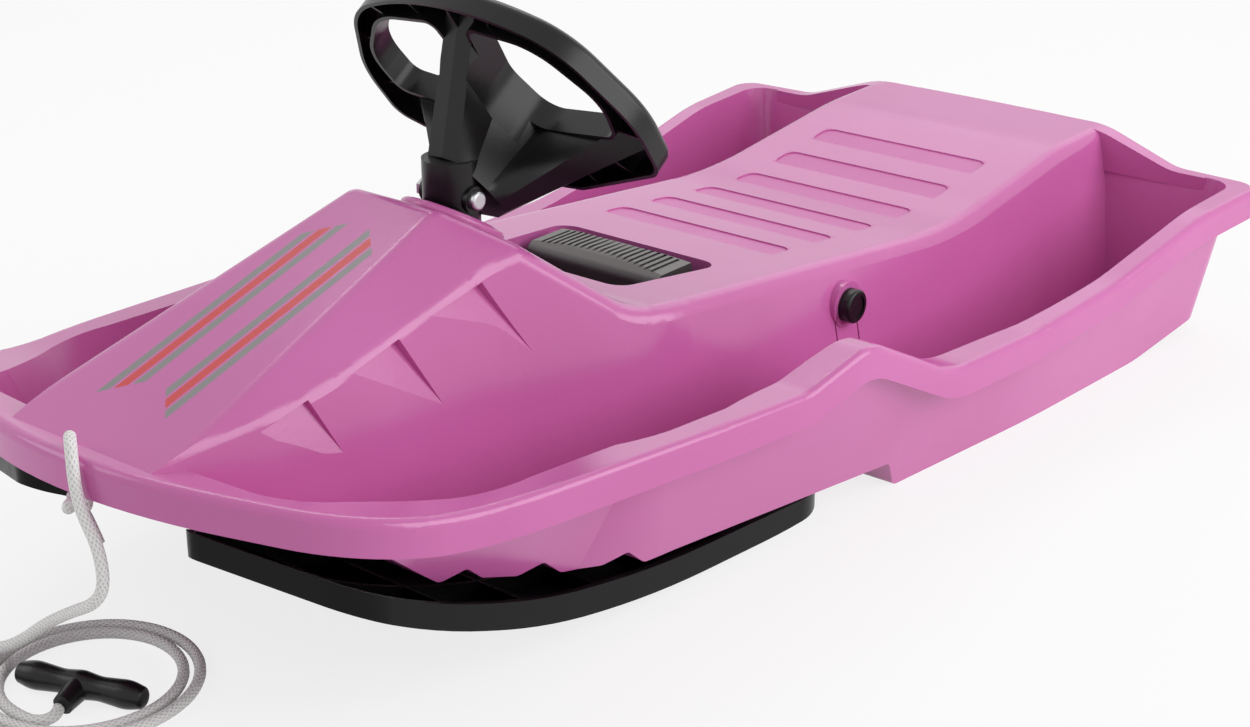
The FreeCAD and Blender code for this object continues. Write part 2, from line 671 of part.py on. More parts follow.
def tub_shell():
    wide = TAIL_HALF_WIDTH + 60
    low, high = well_halves()
    well = drafted(low, high, LOFT_TOP_Z).common(side_prism(above(keel_line(FLOOR), LOFT_TOP_Z + 50), wide))
    outside = saddle_outside()
    inside_rim = column_of(loop(rim_half(), BELOW), BELOW, LOFT_TOP_Z)
    above_keel = side_prism(above(keel_line(), LOFT_TOP_Z + 50), wide)
    lip_middle = TAIL_HEIGHT - LIP_HEIGHT / 2
    stern = block(-wide, wide, TAIL_Y - RISE_LENGTH, TAIL_Y, lip_middle, LOFT_TOP_Z)
    astern = block(-wide, wide, SEAT_REAR_Y, TAIL_Y, BELOW, lip_middle).cut(flared_hull())
    clipped = outside.common(inside_rim).common(above_keel).cut(stern).cut(astern)
    tub = hull_block().fuse(rim_slab()).cut(well).fuse(clipped).fuse(tail_rise())
    tub = tub.cut(saddle_inside())
    collar = column_of(recess_wire(WALL, COLLAR_BOTTOM_Z), COLLAR_BOTTOM_Z, KNEE_Z + 30).common(outside)
    pads = [crosswise(AXLE_PAD_R, AXLE_PAD_IN, AXLE_PAD_X, AXLE_Y, AXLE_Z)]
    pads.append(mirrored(pads[0]))
    tub = tub.fuse(column_support(outside)).fuse(cowl_cup()).fuse(collar).fuse(pads[0]).fuse(pads[1])
    tub = tub.cut(upright(COWL_POCKET_R, COWL_FLOOR_Z, PEAK_Z + 60))
    tub = tub.cut(upright(BORE_R, BELOW, PEAK_Z + 60))
    tub = tub.cut(column_of(recess_wire(0.0, AXLE_Z - 60), AXLE_Z - 60, LOFT_TOP_Z))
    tub = tub.cut(crosswise(AXLE_R + SNUG, -REACH / 4, REACH / 4, AXLE_Y, AXLE_Z))
    tub = tub.cut(upright(ROPE_R, BELOW, LOFT_TOP_Z, 0.0, ROPE_HOLE_Y))
    for slit in axle_slits():
        tub = tub.cut(slit)
    tub = tub.fuse(lever_stop()).fuse(mirrored(lever_stop()))
    seat_skin = side_prism(above(saddle_top(BAR_DEPTH), LOFT_TOP_Z), wide)
    for bar in seat_bars(seat_skin):
        tub = tub.cut(bar)
    return one_solid(tub)


def ring(outer_r, inner_r, low, high, y=STEER_Y):
    return upright(outer_r, low, high, 0.0, y).cut(upright(inner_r, low, high, 0.0, y))


def flanged_bush(low, high, flange_low, flange_high):
    inner = COLUMN_R + RUNNING
    sleeve = ring(BORE_R - SNUG, inner, low, high)
    return sleeve.fuse(ring(FLANGE_R, inner, flange_low, flange_high)).removeSplitter()


def hexagon(across_corners_r, start, direction, length):
    """Hexagonal prism along an axis."""
    turn = FreeCAD.Rotation(Vector(0, 0, 1), direction)
    corners = []
    for i in range(7):
        angle = math.radians(60 * i)
        corners.append(start + turn.multVec(Vector(math.cos(angle), math.sin(angle), 0) * across_corners_r))
    return Part.Face(Part.makePolygon(corners)).extrude(direction * length)


def steering_column():
    column = upright(COLUMN_R, PAD_TOP_Z, COLUMN_TOP_Z)
    column = column.cut(crosswise(WHEEL_BOLT_R + SNUG, -REACH, REACH, STEER_Y, WHEEL_BOLT_Z))
    return column.cut(crosswise(COLUMN_PIN_R + SNUG, -REACH, REACH, STEER_Y, COLUMN_PIN_Z))


# Steering wheel, drawn flat and then tilted: x across, y up the wheel, z away from the rider
def wheel_place():
    rake = math.radians(WHEEL_RAKE_DEG)
    up = Vector(0, -math.sin(rake), math.cos(rake))
    away = Vector(0, -math.cos(rake), -math.sin(rake))
    turn = FreeCAD.Rotation(Vector(1, 0, 0), up, away, "ZXY")
    return FreeCAD.Placement(Vector(0, WHEEL_Y, WHEEL_Z), turn)


def wheel_column(inset, low, high):
    """Prism of the wheel's outline, or of the same outline moved inwards."""
    w = WHEEL_HALF_WIDTH
    shoulder = WHEEL_TOP - 24
    half = [(0, crown(WHEEL_TOP, 190, w - 36, shoulder), 190), (w - 36, shoulder, 70), (w, 48, 80),
            (w - 4, -4, 20), (34, -50, 24), (0, -54, 60)]
    wire = loop(half, low)
    if inset > 0:
        wire = wire.makeOffset2D(-inset)
    return column_of(wire, low, high)


def wheel_opening(grow, low, high):
    """Hand opening on the +X side, grown outwards for its wall."""
    corners = [(17, 123, 8), (8, 58, 30), (26, 20, 22), (104, 31, 12), (111, 68, 40), (74, 117, 50)]
    wire = rounded([Vector(x, y, low) for x, y, r in corners], [r for x, y, r in corners])
    if grow > 0:
        wire = wire.makeOffset2D(grow)
    return column_of(wire, low, high)


def wheel_neck():
    """Dished spokes that run together from the rim into the hub."""
    star = [(0, 126, 0), (13, 124, 0), (10, 60, 0), (27, 18, 0),
            (102, 27, 0), (116, 6, 0), (40, -44, 0), (0, -48, 0)]
    hub = [(0, 56, 0), (15, 54, 0), (21, 42, 0), (27, 28, 0),
           (31, 14, 0), (29, 1, 0), (18, -8, 0), (0, -10, 0)]
    base = WHEEL_SKIN - WHEEL_FACE
    return Part.makeLoft([loop(star, base), loop(hub, WHEEL_NECK)], True, True)


def steering_wheel():
    front = -WHEEL_FACE
    back = WHEEL_DEPTH - WHEEL_FACE
    rim = wheel_column(0.0, front, back)
    edges = [edge for edge in rim.Edges if abs(edge.BoundBox.ZMax - front) < 1e-3]
    rim = rim.makeFillet(WHEEL_ROUND, edges)
    hollow_from = front + WHEEL_SKIN
    rim = rim.cut(wheel_column(WHEEL_RIB, hollow_from, back))
    inside = wheel_column(WHEEL_RIB / 2, front + 1, back)
    for i in range(WHEEL_RIB_COUNT):
        rib = block(0, 2 * WHEEL_HALF_WIDTH, -WHEEL_RIB / 3, WHEEL_RIB / 3, hollow_from, back - 6)
        rib.rotate(Vector(0, 0, 0), Vector(0, 0, 1), 360.0 * (i + 0.5) / WHEEL_RIB_COUNT)
        rib.translate(Vector(0, WHEEL_RIB_CENTRE, 0))
        rim = rim.fuse(rib.common(inside))
    wall = wheel_opening(WHEEL_RIB, front + 1, back)
    rim = rim.fuse(wall).fuse(mirrored(wall)).fuse(wheel_neck())
    opening = wheel_opening(0.0, front - 10, back + 20)
    rim = rim.cut(opening).cut(mirrored(opening))
    rim.Placement = wheel_place()
    hub_low = COWL_FLOOR_Z + FLANGE_T + GAP
    ears = crosswise(HUB_EAR_R, -HUB_EAR_X, HUB_EAR_X, STEER_Y, WHEEL_BOLT_Z)
    wheel = rim.fuse(upright(HUB_R, hub_low, HUB_TOP_Z).fuse(ears))
    wheel = wheel.cut(upright(COLUMN_R + SNUG, hub_low - 1, COLUMN_TOP_Z + SNUG))
    wheel = wheel.cut(crosswise(WHEEL_BOLT_R + SNUG, -REACH / 4, REACH / 4, STEER_Y, WHEEL_BOLT_Z))
    return wheel.Solids[0]


def wheel_bolt():
    shank = crosswise(WHEEL_BOLT_R, -HUB_EAR_X - NUT_T - 2, HUB_EAR_X + 1, STEER_Y, WHEEL_BOLT_Z)
    head = crosswise(BOLT_HEAD_R, HUB_EAR_X, HUB_EAR_X + BOLT_HEAD_T, STEER_Y, WHEEL_BOLT_Z)
    rim_edges = [edge for edge in head.Edges if edge.BoundBox.XMin > HUB_EAR_X + BOLT_HEAD_T - 1e-3]
    return shank.fuse(head.makeFillet(BOLT_HEAD_T * 0.4, rim_edges)).removeSplitter()


def wheel_nut():
    nut = hexagon(BOLT_HEAD_R, Vector(-HUB_EAR_X, STEER_Y, WHEEL_BOLT_Z), Vector(-1, 0, 0), NUT_T)
    return nut.cut(crosswise(WHEEL_BOLT_R + SNUG, -REACH, 0, STEER_Y, WHEEL_BOLT_Z))


# Skis
def ski_line(lift, tail_lift):
    """Curve of a ski along its length; the tail may be lifted less than the rest."""
    dip = 700 * (1 - math.cos(math.atan(9 / 175)))
    curve = [(SKI_TIP_Y - 20, SKI_TIP_Z + 11, 0), (-430, 68.5, 600), (-330, 30, 550), (-215, 9, 900),
             (-40, -dip, 700), (SKI_TAIL_Y + 14, 4.5, 0)]
    lifts = [0.86 * lift, 0.9 * lift, lift, lift, 0.9 * lift + 0.1 * tail_lift, tail_lift]
    return [(y, z + up, r) for (y, z, r), up in zip(curve, lifts)]


def ski_plan(inset, low, high):
    """Prism of a ski's outline: swept tip, outer edge that widens towards the tail, round tail."""
    corners = [(SKI_INNER_X, SKI_TIP_Y, SKI_INNER_ROUND),
               (SKI_OUTER_X - SKI_TIP_WAIST, SKI_TIP_Y + SKI_TIP_SWEEP, SKI_TIP_ROUND),
               (SKI_OUTER_X, SKI_TAIL_Y, SKI_TAIL_ROUND),
               (SKI_INNER_X, SKI_TAIL_Y, SKI_TAIL_ROUND - 15)]
    wire = rounded([Vector(x, y, low) for x, y, r in corners], [r for x, y, r in corners])
    if inset > 0:
        wire = wire.makeOffset2D(-inset)
    return column_of(wire, low, high)


def ski_band(low_lift, high_lift, tail_high):
    low = ski_line(low_lift, low_lift)
    high = ski_line(high_lift, tail_high)
    return side_prism(list(low) + list(reversed(high)), SKI_OUTER_X + 20)


def ski_bolt_places():
    return [(SKI_BOLT_X, STEER_Y - SKI_BOLT_PITCH / 2), (SKI_BOLT_X, STEER_Y + SKI_BOLT_PITCH / 2)]


def right_hand_ski():
    """Ski on the +X side: a tray with walls, a long rib, cross ribs and the pad for the bridge."""
    tray = ski_plan(0.0, BELOW, LOFT_TOP_Z).common(ski_band(0.0, SKI_WALL_HEIGHT, SKI_TAIL_HEIGHT))
    pocket = ski_plan(SKI_WALL, BELOW, LOFT_TOP_Z).common(ski_band(SKI_FLOOR, 90.0, 90.0))
    inside = ski_plan(SKI_WALL / 2, BELOW, LOFT_TOP_Z)
    rib_band = ski_band(SKI_FLOOR / 2, SKI_WALL_HEIGHT - 6, SKI_TAIL_HEIGHT - 2).common(inside)
    middle = (SKI_INNER_X + SKI_OUTER_X) / 2
    half = SKI_RIB / 2
    long_rib = block(middle - half, middle + half, SKI_TIP_Y, SKI_TAIL_Y, BELOW, LOFT_TOP_Z)
    ski = tray.cut(pocket).fuse(long_rib.common(rib_band))
    for i in range(SKI_RIB_COUNT):
        y = SKI_TIP_Y + SKI_RIB_PITCH * (i + 0.9)
        rib = block(SKI_INNER_X, SKI_OUTER_X, y - half, y + half, BELOW, LOFT_TOP_Z)
        ski = ski.fuse(rib.common(rib_band))
    pad_low = ski_band(SKI_FLOOR / 2, 90.0, 90.0)
    pad_edge = SKI_INNER_X + PAD_WIDTH
    pad = block(SKI_INNER_X + 1, pad_edge, STEER_Y - PAD_LENGTH / 2, STEER_Y + PAD_LENGTH / 2,
                BELOW, PAD_TOP_Z)
    bridge_room = block(0, pad_edge + 20, STEER_Y - BRIDGE_LENGTH, STEER_Y + BRIDGE_LENGTH,
                        PAD_TOP_Z, PAD_TOP_Z + 40)
    ski = ski.fuse(pad.common(pad_low)).cut(bridge_room)
    for x, y in ski_bolt_places():
        half_nut = BOLT_HEAD_R * math.cos(math.pi / 6) + SLACK
        ski = ski.cut(upright(SKI_BOLT_R + SLACK, NUT_LOW_Z - 2, PAD_TOP_Z + 1, x, y))
        ski = ski.cut(block(0, x + BOLT_HEAD_R + SLACK, y - half_nut, y + half_nut, NUT_LOW_Z - SLACK,
                            NUT_LOW_Z + NUT_T + SLACK))
    return one_solid(ski)


def ski_bridge():
    half = BRIDGE_LENGTH / 2
    x1 = SKI_INNER_X + PAD_WIDTH
    corners = [(x1, STEER_Y - half), (x1, STEER_Y + half), (-x1, STEER_Y + half), (-x1, STEER_Y - half)]
    wire = rounded([Vector(x, y, PAD_TOP_Z) for x, y in corners], [14] * 4)
    bridge = column_of(wire, PAD_TOP_Z, BRIDGE_TOP_Z).fuse(upright(BRIDGE_COLLAR_R, PAD_TOP_Z, COLLAR_TOP_Z))
    for i in (-1, 1):
        y = STEER_Y + i * 12
        bridge = bridge.fuse(block(-x1 + 40, x1 - 40, y - 3, y + 3, PAD_TOP_Z, BRIDGE_TOP_Z + 8))
    bridge = bridge.cut(upright(COLUMN_R + SNUG, PAD_TOP_Z - 1, COLLAR_TOP_Z + 1))
    bridge = bridge.cut(crosswise(COLUMN_PIN_R + SNUG, -REACH, REACH, STEER_Y, COLUMN_PIN_Z))
    for x, y in ski_bolt_places():
        for side in (1, -1):
            bridge = bridge.cut(upright(SKI_BOLT_R + SLACK, PAD_TOP_Z - 1, BRIDGE_TOP_Z + 1, side * x, y))
    return one_solid(bridge)


def ski_bolts():
    bolts = []
    for x, y in ski_bolt_places():
        for side in (1, -1):
            shank = upright(SKI_BOLT_R, NUT_LOW_Z - 1, BRIDGE_TOP_Z + 1, side * x, y)
            head = hexagon(BOLT_HEAD_R, Vector(side * x, y, BRIDGE_TOP_Z), Vector(0, 0, 1), BOLT_HEAD_T)
            bolts.append(shank.fuse(head).removeSplitter().Solids[0])
    return Part.makeCompound(bolts)


def ski_nuts():
    nuts = []
    for x, y in ski_bolt_places():
        for side in (1, -1):
            nut = hexagon(BOLT_HEAD_R, Vector(side * x, y, NUT_LOW_Z), Vector(0, 0, 1), NUT_T)
            nuts.append(nut.cut(upright(SKI_BOLT_R + SNUG, 0, BRIDGE_TOP_Z, side * x, y)).Solids[0])
    return Part.makeCompound(nuts)


# Brake
def claw_frame():
    """Place and direction of the claw plate: along the back of the lever's rear arms."""
    down = Vector(0, CLAW_FOOT_Y - CLAW_HEAD_Y, CLAW_FOOT_Z - CLAW_HEAD_Z).normalize()
    out = Vector(1, 0, 0).cross(down)
    turn = FreeCAD.Rotation(Vector(1, 0, 0), down, out, "ZXY")
    return FreeCAD.Placement(Vector(0, CLAW_HEAD_Y, CLAW_HEAD_Z), turn)


def brake_lever():
    side = [(GRIP_REAR_Y - 10, GRIP_BOTTOM_Z - 2, 0), (GRIP_REAR_Y - 10, 118, 8), (10, 103, 14),
            (64, 109, 20), (AXLE_Y - 2, AXLE_Z + LEVER_HUB_R, 12), (AXLE_Y + 16, AXLE_Z + 10, 12),
            (CLAW_HEAD_Y, CLAW_HEAD_Z, 4), (CLAW_FOOT_Y, CLAW_FOOT_Z, 4),
            (CLAW_FOOT_Y - 15, CLAW_FOOT_Z - 9, 4), (150, 84, 14),
            (AXLE_Y + 6, 103, 12), (70, 87, 20), (-4, 84, 14), (GRIP_FRONT_Y + 14, 108, 14),
            (GRIP_FRONT_Y + 14, GRIP_BOTTOM_Z - 2, 0)]
    wire = rounded([Vector(LEVER_ARM_X, y, z) for y, z, r in side], [r for y, z, r in side])
    arm = Part.Face(wire).extrude(Vector(LEVER_ARM_T, 0, 0))
    hub = crosswise(LEVER_HUB_R, -LEVER_HUB_HALF, LEVER_HUB_HALF, AXLE_Y, AXLE_Z)
    plate = block(-GRIP_HALF + 8, GRIP_HALF - 8, GRIP_FRONT_Y + 8, GRIP_REAR_Y - 6,
                  GRIP_BOTTOM_Z - PLATE_T, GRIP_BOTTOM_Z)
    foot = block(-LEVER_ARM_X - 1, LEVER_ARM_X + 1, 6, 58, -8, 0)
    foot.Placement = claw_frame()
    lever = arm.fuse(mirrored(arm)).fuse(hub).fuse(plate).fuse(foot)
    lever = lever.cut(crosswise(AXLE_R + RUNNING, -REACH, REACH, AXLE_Y, AXLE_Z))
    for rivet in rivet_shafts(RIVET_R + SNUG, -9, 0):
        lever = lever.cut(rivet)
    for x in (-GRIP_SCREW_X, GRIP_SCREW_X):
        lever = lever.cut(upright(GRIP_SCREW_R + SNUG, GRIP_BOTTOM_Z - 9, GRIP_BOTTOM_Z + 1, x, GRIP_SCREW_Y))
    return one_solid(lever)


def rivet_shafts(radius, low, high):
    shafts = []
    for x in (-RIVET_X, RIVET_X):
        shaft = cylinder(radius, Vector(x, RIVET_DOWN, low), Vector(0, 0, 1), high - low)
        shaft.Placement = claw_frame().multiply(shaft.Placement)
        shafts.append(shaft)
    return shafts


def brake_claw():
    """Steel plate with a toothed lower edge that is pressed into the snow."""
    corners = [Vector(-CLAW_HALF, 0, 0), Vector(-CLAW_HALF, CLAW_LENGTH, 0)]
    pitch = 2 * CLAW_HALF / CLAW_TEETH
    for i in range(CLAW_TEETH):
        left = -CLAW_HALF + i * pitch
        corners.append(Vector(left + pitch / 2, CLAW_LENGTH - CLAW_TOOTH, 0))
        corners.append(Vector(left + pitch, CLAW_LENGTH, 0))
    corners += [Vector(CLAW_HALF, 0, 0), corners[0]]
    plate = Part.Face(Part.makePolygon(corners)).extrude(Vector(0, 0, CLAW_T))
    plate.Placement = claw_frame()
    for shaft in rivet_shafts(RIVET_R + SNUG, -1, CLAW_T + 1):
        plate = plate.cut(shaft)
    return plate.Solids[0]


def claw_rivets():
    heads = rivet_shafts(RIVET_R * 2, CLAW_T, CLAW_T + 2)
    tails = rivet_shafts(RIVET_R * 1.7, -10, -8)
    shafts = rivet_shafts(RIVET_R, -8.5, CLAW_T + 0.5)
    rivets = []
    for shaft, head, tail in zip(shafts, heads, tails):
        rivets.append(shaft.fuse(head).fuse(tail).removeSplitter().Solids[0])
    return Part.makeCompound(rivets)


def brake_grip():
    """Padded bar with ribs that run fore and aft over its rounded top."""
    side = [(GRIP_FRONT_Y, GRIP_BOTTOM_Z, 3), (GRIP_FRONT_Y, GRIP_TOP_Z - 8, 9),
            (GRIP_FRONT_Y + 14, GRIP_TOP_Z, 18), (GRIP_REAR_Y - 6, GRIP_TOP_Z - 1, 6),
            (GRIP_REAR_Y, GRIP_BOTTOM_Z, 3)]
    bar = side_prism(side, GRIP_HALF)
    crown_z = GRIP_TOP_Z - GRIP_CROWN_R
    depth = GRIP_REAR_Y - GRIP_FRONT_Y
    arch = cylinder(GRIP_CROWN_R, Vector(0, GRIP_FRONT_Y - 5, crown_z), Vector(0, 1, 0), depth + 10)
    grip = bar.common(arch)
    pitch = 2 * (GRIP_HALF - 4) / (GRIP_RIB_COUNT + 1)
    for i in range(1, GRIP_RIB_COUNT + 1):
        x = -GRIP_HALF + 4 + i * pitch
        top = crown_z + math.sqrt(GRIP_CROWN_R ** 2 - x ** 2)
        groove = block(x - GRIP_GROOVE / 2, x + GRIP_GROOVE / 2, GRIP_FRONT_Y + 8, GRIP_REAR_Y - 8,
                       top - GRIP_GROOVE_DEPTH, top + 5)
        grip = grip.cut(groove)
    for x in (-GRIP_SCREW_X, GRIP_SCREW_X):
        grip = grip.cut(upright(GRIP_SCREW_R + SNUG, GRIP_BOTTOM_Z - 1, GRIP_BOTTOM_Z + 12, x, GRIP_SCREW_Y))
    return one_solid(grip)


def grip_screws():
    screws = []
    for x in (-GRIP_SCREW_X, GRIP_SCREW_X):
        shank = upright(GRIP_SCREW_R, GRIP_BOTTOM_Z - 9, GRIP_BOTTOM_Z + 11, x, GRIP_SCREW_Y)
        head = upright(GRIP_SCREW_R * 2, GRIP_BOTTOM_Z - 11, GRIP_BOTTOM_Z - 8, x, GRIP_SCREW_Y)
        screws.append(shank.fuse(head).removeSplitter().Solids[0])
    return Part.makeCompound(screws)


def brake_axle():
    return crosswise(AXLE_R, -AXLE_END_X, AXLE_END_X, AXLE_Y, AXLE_Z)


def axle_spacers():
    tube = crosswise(SPACER_R, LEVER_HUB_HALF + GAP, AXLE_PAD_IN, AXLE_Y, AXLE_Z)
    tube = tube.cut(crosswise(AXLE_R + SNUG, 0, REACH, AXLE_Y, AXLE_Z))
    return Part.makeCompound([tube.Solids[0], mirrored(tube).Solids[0]])


def axle_cap():
    """Round snap cap on the +X end of the brake axle, with a shallow dished face."""
    cap = crosswise(CAP_R, AXLE_PAD_X, AXLE_PAD_X + CAP_T, AXLE_Y, AXLE_Z)
    rim = [edge for edge in cap.Edges if edge.BoundBox.XMin > AXLE_PAD_X + CAP_T - 1e-3]
    cap = cap.makeFillet(2.5, rim)
    cap = cap.cut(crosswise(CAP_R - 4.5, AXLE_PAD_X + CAP_T - 1.2, AXLE_PAD_X + CAP_T + 1, AXLE_Y, AXLE_Z))
    return one_solid(cap.cut(crosswise(AXLE_R + SNUG, 0, AXLE_END_X + SNUG, AXLE_Y, AXLE_Z)))


# Tow rope
ROUTE = [(0, ROPE_HOLE_Y, 178), (0, ROPE_HOLE_Y, 198), (26, -572, 196), (26, -572, 174), (31, -572.5, 157),
         (45, -573, 138), (49, -574, 113), (38, -575, 97), (8, -571, 80), (-28, -567, 57), (-58, -566, 33),
         (-88, -566, 16), (-116, -567, 10), (-140, -577, 4), (-149, -597, 4),
         (COIL_X - 103, COIL_Y - COIL_R + 2, 4), (COIL_X - 48, COIL_Y - COIL_R, 4),
         (COIL_X, COIL_Y - COIL_R, 4)]


def tube_along(wire):
    first = wire.Edges[0]
    start = first.valueAt(first.FirstParameter)
    ahead = first.tangentAt(first.FirstParameter)
    section = Part.Wire([Part.Circle(start, ahead, ROPE_R).toShape()])
    tube = wire.makePipeShell([section], True, False)
    fill = tube.Volume / (math.pi * ROPE_R ** 2 * wire.Length)
    print("rope length", wire.Length, "volume over section times length", fill)
    return tube


def tow_rope():
    points = [Vector(*p) for p in ROUTE]
    radii = [0.0]
    for before, at, after in zip(points, points[1:], points[2:]):
        turn = (at - before).getAngle(after - at)
        run = min((at - before).Length, (after - at).Length)
        radii.append(0.45 * run / math.tan(turn / 2))
    radii.append(0.0)
    print("rope radii", [round(r) for r in radii])
    return tube_along(rounded(points, radii, closed=False))


def coil_path():
    """Half circles on two centres, each smaller than the last, then the turn into the handle."""
    edges = []
    at = Vector(COIL_X, COIL_Y - COIL_R, ROPE_R)
    radius = COIL_R
    way = 1
    for i in range(2 * COIL_TURNS):
        centre = at + Vector(0, way * radius, 0)
        side = centre + Vector(way * radius, 0, 0)
        end = centre + Vector(0, way * radius, 0)
        edges.append(Part.Arc(at, side, end).toShape())
        at = end
        radius -= COIL_STEP / 2
        way = -way
    straight = at + Vector(COIL_TAIL, 0, 0)
    edges.append(Part.LineSegment(at, straight).toShape())
    centre = straight + Vector(0, COIL_TURN_R, 0)
    sweep = math.radians(HANDLE_SWEEP_DEG)
    middle = centre + Vector(math.sin(sweep / 2), -math.cos(sweep / 2), 0) * COIL_TURN_R
    end = centre + Vector(math.sin(sweep), -math.cos(sweep), 0) * COIL_TURN_R
    edges.append(Part.Arc(straight, middle, end).toShape())
    return Part.Wire(edges), end, Vector(math.cos(sweep), math.sin(sweep), 0)


def self_gap(wire):
    """Least clear distance between stretches of the coil that aren't neighbours."""
    points = wire.discretize(Distance=3.0)
    apart = int(6 * ROPE_R / 3.0)
    return min((p - q).Length for i, p in enumerate(points) for q in points[i + apart:]) - 2 * ROPE_R


def rope_coil():
    wire, end, ahead = coil_path()
    print("coil gap", self_gap(wire))
    return tube_along(wire)


def rope_knot():
    """Stopper knot under the rim: three crossing turns, the rope up to the route and a short tail."""
    centre = Vector(0, ROPE_HOLE_Y, KNOT_Z)
    knot = cylinder(ROPE_R, centre, Vector(0, 0, 1), ROUTE[0][2] - KNOT_Z)
    for axis in (Vector(0, 0, 1), Vector(1, 0, 0.4), Vector(0.3, 1, 0.3)):
        knot = knot.fuse(Part.makeTorus(KNOT_R, ROPE_R, centre, axis))
    tail = cylinder(ROPE_R, centre + Vector(4, 0, -4), Vector(0.45, 0.1, -0.88), KNOT_TAIL)
    return one_solid(knot.fuse(tail))


def tow_handle():
    """T-shaped handle: a spindle to hold and a stem that takes the rope."""
    wire, end, ahead = coil_path()
    neck = end + Vector(0, 0, HANDLE_STEM_R - ROPE_R)
    middle = neck + ahead * HANDLE_STEM + Vector(0, 0, HANDLE_R - HANDLE_STEM_R)
    across = Vector(0, 0, 1).cross(ahead)
    half = HANDLE_LENGTH / 2
    outline = [(0, -half, 0), (HANDLE_R - 3, -half, 3), (HANDLE_R, -half + 12, 30), (HANDLE_R - 2, -14, 40),
               (HANDLE_R, 0, 20), (HANDLE_R - 2, 14, 40), (HANDLE_R, half - 12, 30),
               (HANDLE_R - 3, half, 3), (0, half, 0)]
    profile = rounded([Vector(r, 0, a) for r, a, q in outline], [q for r, a, q in outline])
    bar = Part.Face(profile).revolve(Vector(0, 0, 0), Vector(0, 0, 1), 360)
    bar.Placement = FreeCAD.Placement(middle, FreeCAD.Rotation(Vector(0, 0, 1), across))
    span = middle - neck
    stem = Part.makeCone(HANDLE_STEM_R, HANDLE_R - 1, span.Length, neck, span)
    return one_solid(bar.fuse(stem))


def nodes():
    cap = axle_cap()
    ski = right_hand_ski()
    upper = COWL_FLOOR_Z
    lower = BOSS_BOTTOM_Z
    yield "tub_shell", tub_shell()
    yield "upper_bush", flanged_bush(upper - BUSH_LENGTH, upper, upper, upper + FLANGE_T)
    yield "lower_bush", flanged_bush(lower, lower + BUSH_LENGTH, lower - FLANGE_T, lower)
    yield "steering_column", steering_column()
    yield "thrust_washer", ring(FLANGE_R, COLUMN_R + SNUG, COLLAR_TOP_Z, COLLAR_TOP_Z + WASHER_T)
    yield "column_pin", crosswise(COLUMN_PIN_R, -BRIDGE_COLLAR_R, BRIDGE_COLLAR_R, STEER_Y, COLUMN_PIN_Z)
    yield "steering_wheel", steering_wheel()
    yield "wheel_bolt", wheel_bolt()
    yield "wheel_nut", wheel_nut()
    yield "ski_bridge", ski_bridge()
    yield "left_ski", ski
    yield "right_ski", mirrored(ski)
    yield "ski_bolts", ski_bolts()
    yield "ski_nuts", ski_nuts()
    yield "brake_lever", brake_lever()
    yield "brake_grip", brake_grip()
    yield "grip_screws", grip_screws()
    yield "brake_claw", brake_claw()
    yield "claw_rivets", claw_rivets()
    yield "brake_axle", brake_axle()
    yield "axle_spacers", axle_spacers()
    yield "left_axle_cap", cap
    yield "right_axle_cap", mirrored(cap)
    yield "tow_rope", tow_rope()
    yield "rope_coil", rope_coil()
    yield "rope_knot", rope_knot()
    yield "tow_handle", tow_handle()


os.makedirs("parts", exist_ok=True)
for node, shape in nodes():
    box = shape.BoundBox
    print(node, "valid", shape.isValid(), "solids", len(shape.Solids), "volume", round(shape.Volume),
          [round(v, 1) for v in (box.XMin, box.XMax, box.YMin, box.YMax, box.ZMin, box.ZMax)])
    shape.exportStep(os.path.join("parts", node + ".step"))
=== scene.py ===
# %% [markdown]
# # Dressing a child's steering sled
# The solids of the sled come packed from the CAD step: a moulded tub, a wheel on an upright column, skis, a
# brake and a tow rope. This lesson lights them, gives each its finish and replaces the rope with a braided
# one. Everything is in metres, the nose points along -Y and the ground is at z = 0.

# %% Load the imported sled
import bpy
import math
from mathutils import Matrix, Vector


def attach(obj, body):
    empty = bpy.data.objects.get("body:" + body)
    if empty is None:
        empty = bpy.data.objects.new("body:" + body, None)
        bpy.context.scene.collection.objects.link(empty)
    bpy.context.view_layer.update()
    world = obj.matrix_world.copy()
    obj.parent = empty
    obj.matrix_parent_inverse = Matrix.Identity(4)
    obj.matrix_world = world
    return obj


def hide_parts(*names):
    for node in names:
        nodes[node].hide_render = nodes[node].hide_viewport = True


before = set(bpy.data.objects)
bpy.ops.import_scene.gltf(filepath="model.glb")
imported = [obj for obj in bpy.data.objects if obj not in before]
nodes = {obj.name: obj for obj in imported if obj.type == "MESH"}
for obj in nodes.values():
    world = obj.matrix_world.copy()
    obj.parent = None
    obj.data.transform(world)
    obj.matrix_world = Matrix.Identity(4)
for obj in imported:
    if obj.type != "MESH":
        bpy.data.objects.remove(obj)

scene = bpy.context.scene
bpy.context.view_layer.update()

# %% [markdown]
# ## The camera
# The photograph looks down on the near front corner with a long lens. The place and the lens below were
# fitted to mirror-image points of the tub, so the same corners of the sled fall on the same parts of the
# frame.

# %% Camera
camera = bpy.data.objects.new("camera", bpy.data.cameras.new("camera"))
camera.data.sensor_width = 36.0
camera.data.lens = 63.93
camera.location = (1.0549, -1.3098, 0.7556)
aim = Vector((0.0322, -0.0477, 0.0881)) - camera.location
camera.rotation_euler = aim.to_track_quat("-Z", "Y").to_euler()
scene.collection.objects.link(camera)
scene.camera = camera
print("camera distance", round(aim.length, 3))

# %% [markdown]
# ## The rope's line
# A limp rope goes up through a hole in the rim, over the edge, hangs down and ends in a coil on the ground.
# One NURBS spline carries all of it: its control points are the corners of the route, then points round
# each turn of the coil. A spline of order 3 rounds every corner by itself, so no arcs have to be worked
# out.

